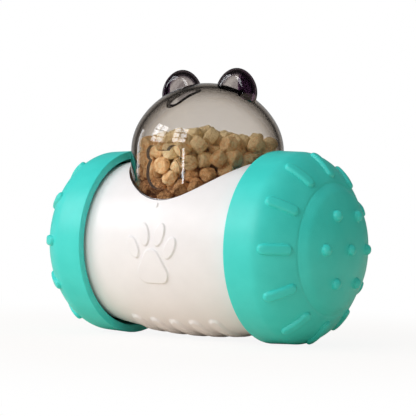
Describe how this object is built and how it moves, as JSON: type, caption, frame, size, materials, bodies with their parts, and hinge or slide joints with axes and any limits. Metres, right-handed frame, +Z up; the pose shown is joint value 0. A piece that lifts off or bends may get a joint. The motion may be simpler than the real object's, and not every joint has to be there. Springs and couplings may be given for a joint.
{
  "type": "treat dispensing wobbler",
  "caption": "Weighted barrel hung between two free-turning soft wheels, with a see-through animal-head hopper that lifts off to fill and drops treats through a front outlet.",
  "frame": {"origin": "on the floor under the middle of the toy, halfway between the wheels", "axes": "+X along the axle, -Y the way the head and its outlet face, +Z up"},
  "size_m": [0.1766, 0.096, 0.1381],
  "materials": {
    "soft_cover": "satin moulded soft plastic with a fine grain",
    "white_shell": "satin moulded plastic",
    "smoke_clear": "polished see-through smoke plastic",
    "inner_plastic": "plain moulded plastic",
    "bearing_plastic": "slippery bearing plastic",
    "steel": "zinc plated",
    "weight_iron": "bare casting",
    "dry_treat": null
  },
  "bodies": {
    "body": {"body_shell": "white_shell", "end_plate_left": "inner_plastic", "end_plate_right": "inner_plastic", "end_plate_screws": "steel", "axle": "steel", "thrust_washers": "bearing_plastic", "axle_washers": "steel", "axle_screws": "steel", "hopper_tray": "white_shell", "counterweight": "weight_iron", "weight_cover": "inner_plastic", "weight_cover_screws": "steel", "treats": "dry_treat"},
    "head": {"head_dome": "smoke_clear"},
    "left_wheel": {"tyre_left": "soft_cover", "hub_left": "inner_plastic", "bush_left": "bearing_plastic"},
    "right_wheel": {"tyre_right": "soft_cover", "hub_right": "inner_plastic", "bush_right": "bearing_plastic"}
  },
  "joints": [
    {"name": "left_wheel_spin", "type": "hinge", "parent": "body", "child": "left_wheel", "pos_m": [-0.061, 0, 0.048], "axis": [1, 0, 0], "continuous": true},
    {"name": "right_wheel_spin", "type": "hinge", "parent": "body", "child": "right_wheel", "pos_m": [0.061, 0, 0.048], "axis": [1, 0, 0], "continuous": true},
    {"name": "head_lift", "type": "slide", "parent": "body", "child": "head", "axis": [0, 0, 1], "range_m": [0, 0.032]}
  ]
}
